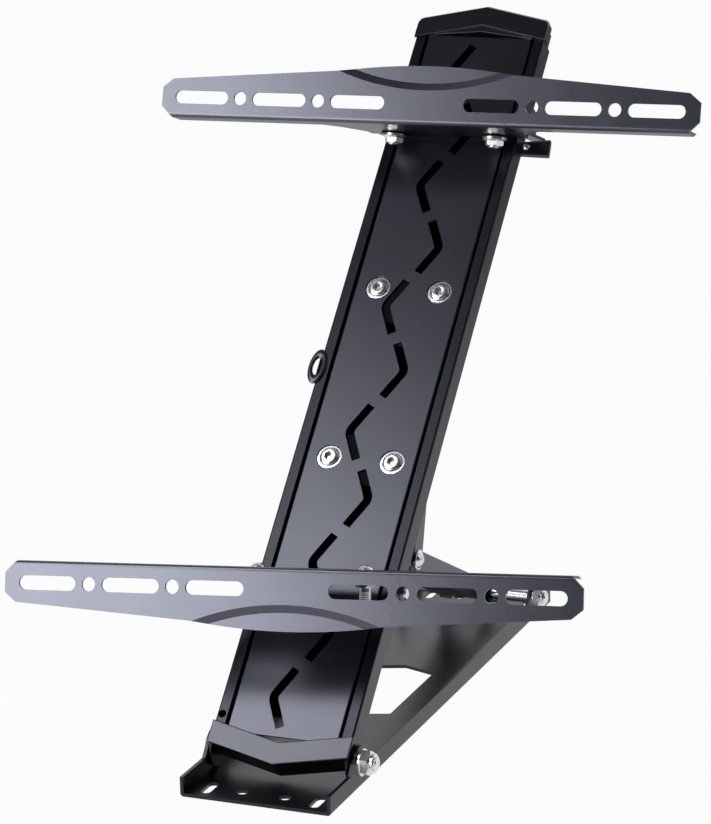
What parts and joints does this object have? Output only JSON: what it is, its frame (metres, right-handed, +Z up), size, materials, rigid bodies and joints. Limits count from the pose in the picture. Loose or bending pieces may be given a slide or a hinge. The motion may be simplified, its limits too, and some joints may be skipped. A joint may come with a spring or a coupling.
{
  "type": "tilting tv wall mount",
  "caption": "Folding display mount: slotted channel base, leaning twin-rail spine with zig-zag face plate, rear knee linkage and tilting slotted bars.",
  "frame": {"origin": "on the base's underside, straight below the hinge axle, midway across", "axes": "+X to the right along the hinge axle, +Y along the base towards its rear, +Z up from the base"},
  "size_m": [0.5046, 0.5987, 0.5654],
  "materials": {
    "black_steel": "satin black powder coat with a fine grain",
    "bar_steel": "satin black powder coat with a fine grain",
    "black_plastic": "moulded, matte",
    "bright_steel": "bright plated",
    "bush_plastic": "plain"
  },
  "bodies": {
    "base": {"base_plate": "black_steel", "hinge_axle": "bright_steel", "hinge_washer": "bright_steel", "hinge_nut": "bright_steel", "hinge_bushes": "bush_plastic", "rear_axle": "bright_steel", "rear_washers": "bright_steel", "rear_nuts": "bright_steel", "rear_collars": "bush_plastic"},
    "spine": {"left_rail": "black_steel", "right_rail": "black_steel", "face_plate": "black_steel", "back_cover": "black_steel", "top_end_cap": "black_plastic", "bottom_end_cap": "black_plastic", "hinge_sleeve": "black_steel", "link_bracket": "black_steel", "plate_brace": "black_steel", "face_screws": "bright_steel", "face_nuts": "bright_steel", "link_pin": "bright_steel", "eye_tab": "black_steel", "receiver_box": "black_plastic", "receiver_screw": "bright_steel", "upper_tilt_pins": "bright_steel", "lower_tilt_pins": "bright_steel"},
    "upper_link_body": {"upper_link": "black_steel", "knee_pins": "bright_steel", "knee_washers": "bright_steel"},
    "lower_link_body": {"lower_link": "black_steel"},
    "upper_bar": {"upper_tv_bar": "bar_steel", "upper_tilt_bracket": "black_steel", "upper_bar_bolts": "bright_steel", "upper_bar_washers": "bright_steel", "upper_bar_nuts": "bright_steel"},
    "lower_bar": {"lower_tv_bar": "bar_steel", "lower_tilt_bracket": "black_steel", "lower_bar_bolts": "bright_steel", "lower_bar_washers": "bright_steel", "lower_bar_nuts": "bright_steel"}
  },
  "joints": [
    {"name": "spine_fold", "type": "hinge", "parent": "base", "child": "spine", "pos_m": [0, 0, 0.022], "axis": [1, 0, 0], "range_deg": [-25, 3]},
    {"name": "upper_link_turn", "type": "hinge", "parent": "spine", "child": "upper_link_body", "pos_m": [0, 0.30952, 0.31915], "axis": [1, 0, 0], "range_deg": [-11, 3]},
    {"name": "lower_link_turn", "type": "hinge", "parent": "base", "child": "lower_link_body", "pos_m": [0, 0.44, 0.022], "axis": [1, 0, 0], "range_deg": [-4, 26]},
    {"name": "upper_bar_tilt", "type": "hinge", "parent": "spine", "child": "upper_bar", "pos_m": [0, 0.44181, 0.47173], "axis": [0.9997, 0.0161, 0.016], "range_deg": [-27, 3]},
    {"name": "lower_bar_tilt", "type": "hinge", "parent": "spine", "child": "lower_bar", "pos_m": [0, 0.10003, 0.13114], "axis": [0.9968, 0.0568, 0.0566], "range_deg": [-27, 3]}
  ],
  "couplings": [
    {"joint": "upper_link_turn", "follows": "spine_fold", "ratio": 0.3995},
    {"joint": "lower_link_turn", "follows": "spine_fold", "ratio": -0.991}
  ]
}
